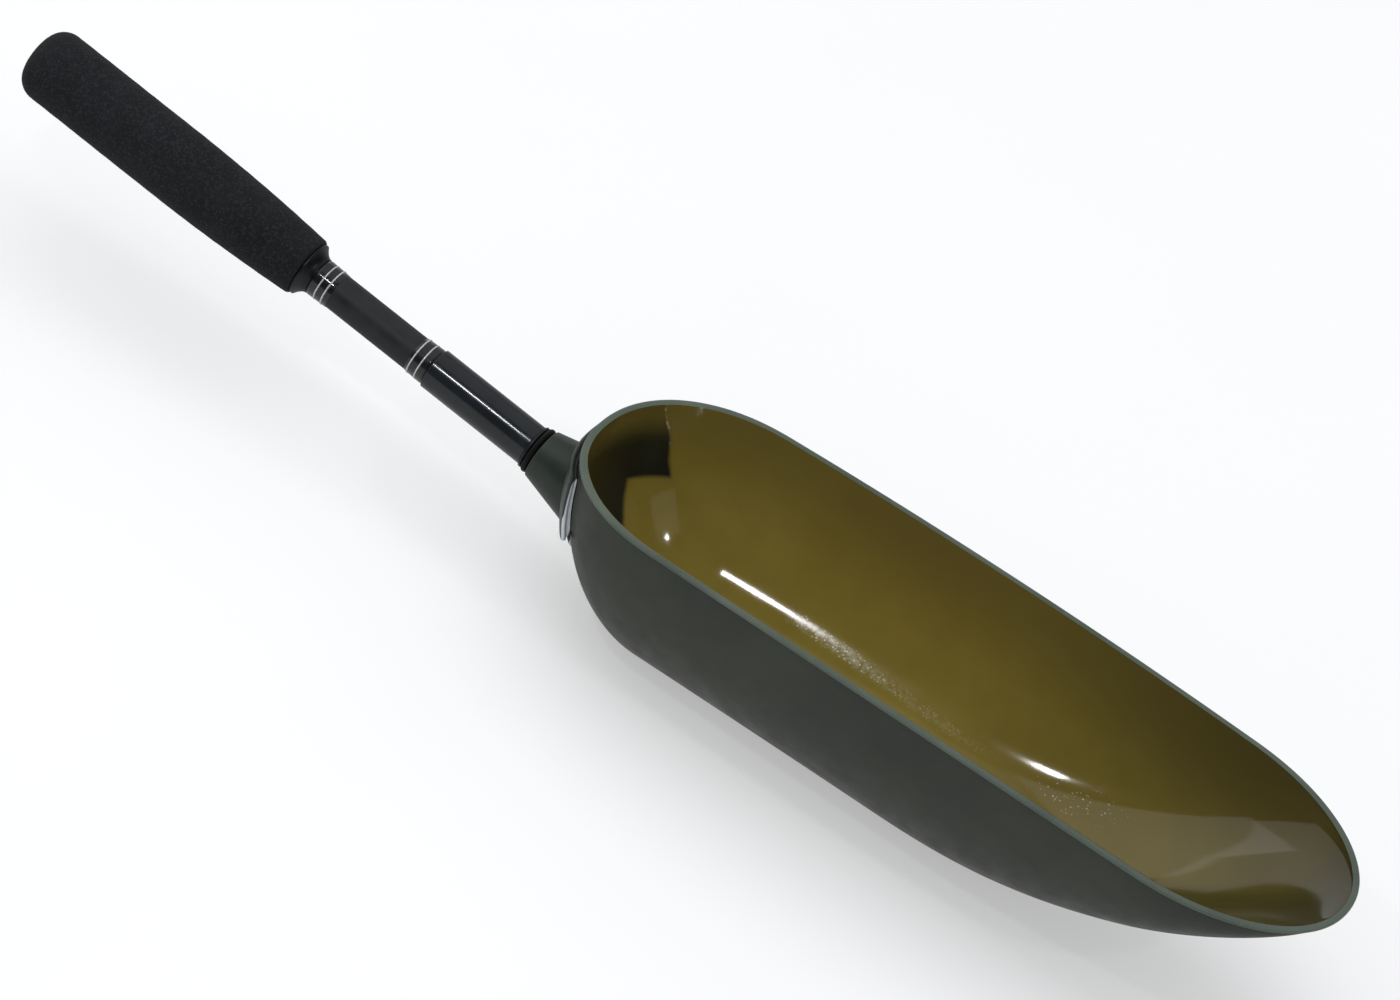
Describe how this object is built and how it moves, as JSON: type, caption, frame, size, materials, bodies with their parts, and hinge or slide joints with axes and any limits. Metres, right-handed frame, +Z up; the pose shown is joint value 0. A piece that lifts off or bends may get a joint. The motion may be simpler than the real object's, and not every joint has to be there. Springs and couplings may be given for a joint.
{
  "type": "long-handled bait scoop",
  "caption": "Deep solid-walled moulded scoop with a rounded back and tapering tip, on a short foam-gripped handle that screws out of a socket on its back.",
  "frame": {"origin": "centre of the footprint, level with the lowest point of the bowl's keel", "axes": "+X along the bowl towards its tip (the handle runs towards -X), +Z up out of the bowl, +Y across; the part is symmetric about Y = 0"},
  "size_m": [0.5738, 0.11, 0.0781],
  "materials": {
    "bowl_plastic": "translucent olive, glossy inside and satin outside",
    "pad_foam": "pale grey bonding pad",
    "saddle_plastic": "grey-green satin moulding with bright cut end faces",
    "socket_plastic": "grey-green satin moulding",
    "insert_brass": "turned",
    "seal_rubber": "black, smooth",
    "stud_steel": "turned",
    "plug_plastic": "dark grey",
    "tube_alloy": "black, high gloss",
    "blank_fibre": "dark grey, ground satin",
    "whipping_coat": "black thread under clear coat",
    "trim_metal": "bright",
    "check_metal": "black, satin",
    "grip_foam": "black closed-cell foam, fine grain"
  },
  "bodies": {
    "bowl": {"scoop_bowl": "bowl_plastic", "saddle_pad": "pad_foam", "saddle_plate": "saddle_plastic", "handle_socket": "socket_plastic", "socket_insert": "insert_brass"},
    "seal": {"o_ring": "seal_rubber"},
    "handle": {"thread_stud": "stud_steel", "tube_end_plug": "plug_plastic", "lower_tube": "tube_alloy", "upper_blank": "blank_fibre", "whipping_front": "whipping_coat", "whipping_rear": "whipping_coat", "trim_ring_1": "trim_metal", "trim_ring_2": "trim_metal", "trim_ring_3": "trim_metal", "trim_ring_4": "trim_metal", "winding_check": "check_metal", "grip": "grip_foam", "blank_plug": "plug_plastic"}
  },
  "joints": [
    {"name": "handle_draw", "type": "slide", "parent": "bowl", "child": "seal", "axis": [-0.9945, 0, 0.1045], "range_m": [0, 0.01016]},
    {"name": "handle_turn", "type": "hinge", "parent": "seal", "child": "handle", "pos_m": [-0.04304, 0, 0.03912], "axis": [-0.9945, 0, 0.1045], "range_deg": [0, 2880]}
  ],
  "couplings": [
    {"joint": "handle_turn", "follows": "handle_draw", "rad_per_m": 4947.4}
  ]
}
